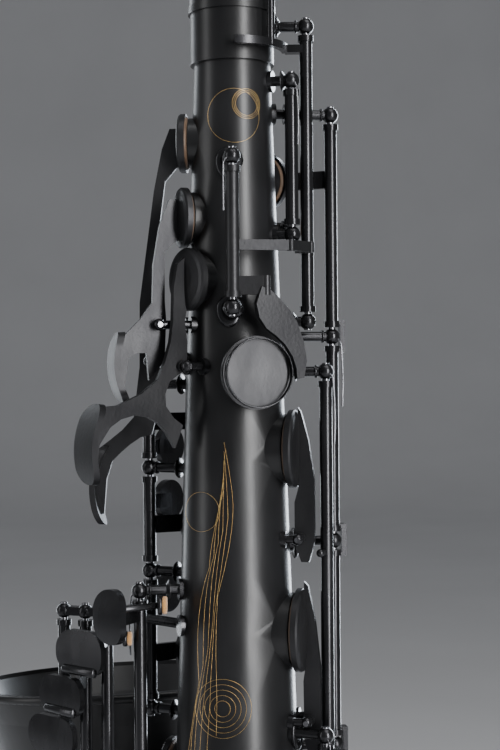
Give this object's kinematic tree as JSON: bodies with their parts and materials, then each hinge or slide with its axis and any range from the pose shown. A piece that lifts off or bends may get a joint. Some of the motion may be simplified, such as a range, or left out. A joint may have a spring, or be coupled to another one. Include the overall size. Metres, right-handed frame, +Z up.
{
  "type": "alto saxophone",
  "caption": "Alto saxophone in satin black lacquer with black nickel keywork, fine gold line work, neck and mouthpiece.",
  "frame": {"origin": "centre of the strap ring hole, on the back of the body tube", "axes": "+Z up along the body tube, +Y forwards to the bell, +X to the player's right"},
  "size_m": [0.1243, 0.3481, 0.6501],
  "materials": {
    "black_lacquer": "satin black lacquer over brass",
    "black_nickel": "glossy black nickel plate",
    "satin_key": "satin dark nickel plate",
    "screw_steel": "turned steel",
    "pad_leather": "tan kid leather",
    "cork": "sanded cork",
    "hard_rubber": "polished hard rubber",
    "gold_trim": "polished gold lacquer",
    "cane": "cut cane"
  },
  "bodies": {
    "instrument": {"body_tube": "black_lacquer", "neck_receiver": "black_lacquer", "receiver_screw": "screw_steel", "bow": "black_lacquer", "bell": "black_lacquer", "bell_brace": "black_nickel", "posts": "black_nickel", "hinge_rods": "screw_steel", "pivot_screws": "screw_steel", "thumb_rest": "satin_key", "thumb_hook": "satin_key", "strap_ring": "black_nickel", "neck_tenon": "black_lacquer", "neck_tube": "black_lacquer", "neck_cork": "cork", "mouthpiece": "hard_rubber", "ligature": "gold_trim", "reed": "cane"},
    "octave_lever": {"octave_lever": "satin_key"},
    "octave_rocker": {"octave_rocker": "black_nickel"},
    "pip_key": {"pip_key": "black_nickel"},
    "neck_key": {"neck_key": "black_nickel"},
    "palm_d": {"palm_d": "satin_key", "pad_palm_d": "pad_leather"},
    "palm_eb": {"palm_eb": "satin_key", "pad_palm_eb": "pad_leather"},
    "palm_f": {"palm_f": "satin_key", "pad_palm_f": "pad_leather"},
    "high_e": {"high_e": "black_nickel", "pad_high_e": "pad_leather"},
    "side_c_lever": {"side_c_lever": "black_nickel"},
    "side_c_cup": {"side_c_cup": "satin_key", "pad_side_c": "pad_leather"},
    "side_bb_lever": {"side_bb_lever": "black_nickel"},
    "side_bb_cup": {"side_bb_cup": "satin_key", "pad_side_bb": "pad_leather"},
    "key_b": {"key_b": "black_nickel", "pad_b": "pad_leather"},
    "key_a": {"key_a": "black_nickel", "pad_a": "pad_leather"},
    "key_g": {"key_g": "black_nickel", "pad_g": "pad_leather"},
    "g_sharp": {"g_sharp": "black_nickel", "pad_g_sharp": "pad_leather"},
    "low_csharp": {"low_csharp": "black_nickel", "pad_csharp": "pad_leather"},
    "low_b": {"low_b": "black_nickel", "pad_low_b": "pad_leather"},
    "low_bb": {"low_bb": "black_nickel", "pad_low_bb": "pad_leather"},
    "key_f": {"key_f": "black_nickel", "pad_f": "pad_leather"},
    "key_e": {"key_e": "black_nickel", "pad_e": "pad_leather"},
    "key_d": {"key_d": "black_nickel", "pad_d": "pad_leather"},
    "low_eb": {"low_eb": "black_nickel", "pad_eb": "pad_leather"},
    "low_c": {"low_c": "black_nickel", "pad_c": "pad_leather"}
  },
  "joints": [
    {"name": "octave_lever_hinge", "type": "hinge", "parent": "instrument", "child": "octave_lever", "pos_m": [-0.0106, 0.0103, 0.195], "axis": [0, 0, 1], "range_deg": [0, 4], "stiffness_Nm_per_rad": 0.02, "springref_deg": -12},
    {"name": "octave_rocker_hinge", "type": "hinge", "parent": "instrument", "child": "octave_rocker", "pos_m": [0.0221, 0.0213, 0.205], "axis": [0, 0, 1], "range_deg": [-3.6, 0]},
    {"name": "pip_key_hinge", "type": "hinge", "parent": "instrument", "child": "pip_key", "pos_m": [0.0157, 0.0198, 0.225], "axis": [0, 0, 1], "range_deg": [-7, 0], "stiffness_Nm_per_rad": 0.02, "springref_deg": 12},
    {"name": "neck_key_hinge", "type": "hinge", "parent": "instrument", "child": "neck_key", "pos_m": [0, 0.02251, 0.34126], "axis": [1, 0, 0], "range_deg": [-2.8, 0]},
    {"name": "palm_d_hinge", "type": "hinge", "parent": "instrument", "child": "palm_d", "pos_m": [-0.02167, 0.02918, 0.155], "axis": [0.1736, -0.9848, 0], "range_deg": [0, 5], "stiffness_Nm_per_rad": 0.06, "springref_deg": -12},
    {"name": "palm_eb_hinge", "type": "hinge", "parent": "instrument", "child": "palm_eb", "pos_m": [-0.02674, 0.03676, 0.169], "axis": [-0.1392, -0.9903, 0], "range_deg": [0, 4], "stiffness_Nm_per_rad": 0.06, "springref_deg": -12},
    {"name": "palm_f_hinge", "type": "hinge", "parent": "instrument", "child": "palm_f", "pos_m": [-0.02493, 0.04682, 0.157], "axis": [-0.4848, -0.8746, 0], "range_deg": [0, 4.5], "stiffness_Nm_per_rad": 0.06, "springref_deg": -12},
    {"name": "high_e_hinge", "type": "hinge", "parent": "instrument", "child": "high_e", "pos_m": [0.0328, 0.0242, 0.105], "axis": [0, 0, 1], "range_deg": [-6, 0], "stiffness_Nm_per_rad": 0.04, "springref_deg": 12},
    {"name": "side_c_lever_hinge", "type": "hinge", "parent": "instrument", "child": "side_c_lever", "pos_m": [0.0268, 0.0176, 0.065], "axis": [0, 0, 1], "range_deg": [-8, 0], "stiffness_Nm_per_rad": 0.04, "springref_deg": 12},
    {"name": "side_c_cup_hinge", "type": "hinge", "parent": "instrument", "child": "side_c_cup", "pos_m": [0.01773, 0.01915, 0.097], "axis": [0.6157, 0.788, 0], "range_deg": [0, 8]},
    {"name": "side_bb_lever_hinge", "type": "hinge", "parent": "instrument", "child": "side_bb_lever", "pos_m": [0.0208, 0.0082, 0.005], "axis": [0, 0, 1], "range_deg": [-5, 0], "stiffness_Nm_per_rad": 0.04, "springref_deg": 12},
    {"name": "side_bb_cup_hinge", "type": "hinge", "parent": "instrument", "child": "side_bb_cup", "pos_m": [0.0197, 0.01761, 0.036], "axis": [0.6157, 0.788, 0], "range_deg": [0, 5]},
    {"name": "key_b_hinge", "type": "hinge", "parent": "instrument", "child": "key_b", "pos_m": [-0.021, 0.0595, 0.135], "axis": [0, 0, 1], "range_deg": [-9, 0], "stiffness_Nm_per_rad": 0.02, "springref_deg": 12},
    {"name": "key_a_hinge", "type": "hinge", "parent": "instrument", "child": "key_a", "pos_m": [-0.021, 0.0595, 0.1], "axis": [0, 0, 1], "range_deg": [-9, 0], "stiffness_Nm_per_rad": 0.02, "springref_deg": 12},
    {"name": "key_g_hinge", "type": "hinge", "parent": "instrument", "child": "key_g", "pos_m": [-0.021, 0.0595, 0.055], "axis": [0, 0, 1], "range_deg": [-9, 0], "stiffness_Nm_per_rad": 0.02, "springref_deg": 12},
    {"name": "g_sharp_hinge", "type": "hinge", "parent": "instrument", "child": "g_sharp", "pos_m": [-0.0322, 0.0404, 0.045], "axis": [0, 0, 1], "range_deg": [0, 8], "stiffness_Nm_per_rad": 0.02, "springref_deg": -12},
    {"name": "low_csharp_hinge", "type": "hinge", "parent": "instrument", "child": "low_csharp", "pos_m": [-0.032, 0.074, -0.055], "axis": [0, 0, 1], "range_deg": [0, 5], "stiffness_Nm_per_rad": 0.04, "springref_deg": -12},
    {"name": "low_b_hinge", "type": "hinge", "parent": "instrument", "child": "low_b", "pos_m": [-0.038, 0.08, -0.025], "axis": [0, 0, 1], "range_deg": [0, 4], "stiffness_Nm_per_rad": 0.04, "springref_deg": -12},
    {"name": "low_bb_hinge", "type": "hinge", "parent": "instrument", "child": "low_bb", "pos_m": [-0.044, 0.086, 0.005], "axis": [0, 0, 1], "range_deg": [0, 4], "stiffness_Nm_per_rad": 0.04, "springref_deg": -12},
    {"name": "key_f_hinge", "type": "hinge", "parent": "instrument", "child": "key_f", "pos_m": [-0.026, 0.0648, -0.025], "axis": [0, 0, 1], "range_deg": [-9, 0], "stiffness_Nm_per_rad": 0.02, "springref_deg": 12},
    {"name": "key_e_hinge", "type": "hinge", "parent": "instrument", "child": "key_e", "pos_m": [-0.026, 0.0648, -0.065], "axis": [0, 0, 1], "range_deg": [-9, 0], "stiffness_Nm_per_rad": 0.02, "springref_deg": 12},
    {"name": "key_d_hinge", "type": "hinge", "parent": "instrument", "child": "key_d", "pos_m": [-0.026, 0.0648, -0.107], "axis": [0, 0, 1], "range_deg": [-9, 0], "stiffness_Nm_per_rad": 0.02, "springref_deg": 12},
    {"name": "low_eb_hinge", "type": "hinge", "parent": "instrument", "child": "low_eb", "pos_m": [0.042, 0.017, -0.145], "axis": [0, 0, 1], "range_deg": [-8, 0], "stiffness_Nm_per_rad": 0.04, "springref_deg": 12},
    {"name": "low_c_hinge", "type": "hinge", "parent": "instrument", "child": "low_c", "pos_m": [0.042, 0.017, -0.19], "axis": [0, 0, 1], "range_deg": [0, 7], "stiffness_Nm_per_rad": 0.04, "springref_deg": -12}
  ],
  "couplings": [
    {"joint": "octave_rocker_hinge", "follows": "octave_lever_hinge", "ratio": -0.9},
    {"joint": "neck_key_hinge", "follows": "octave_lever_hinge", "ratio": -0.7},
    {"joint": "side_c_cup_hinge", "follows": "side_c_lever_hinge", "ratio": -1},
    {"joint": "side_bb_cup_hinge", "follows": "side_bb_lever_hinge", "ratio": -1}
  ]
}
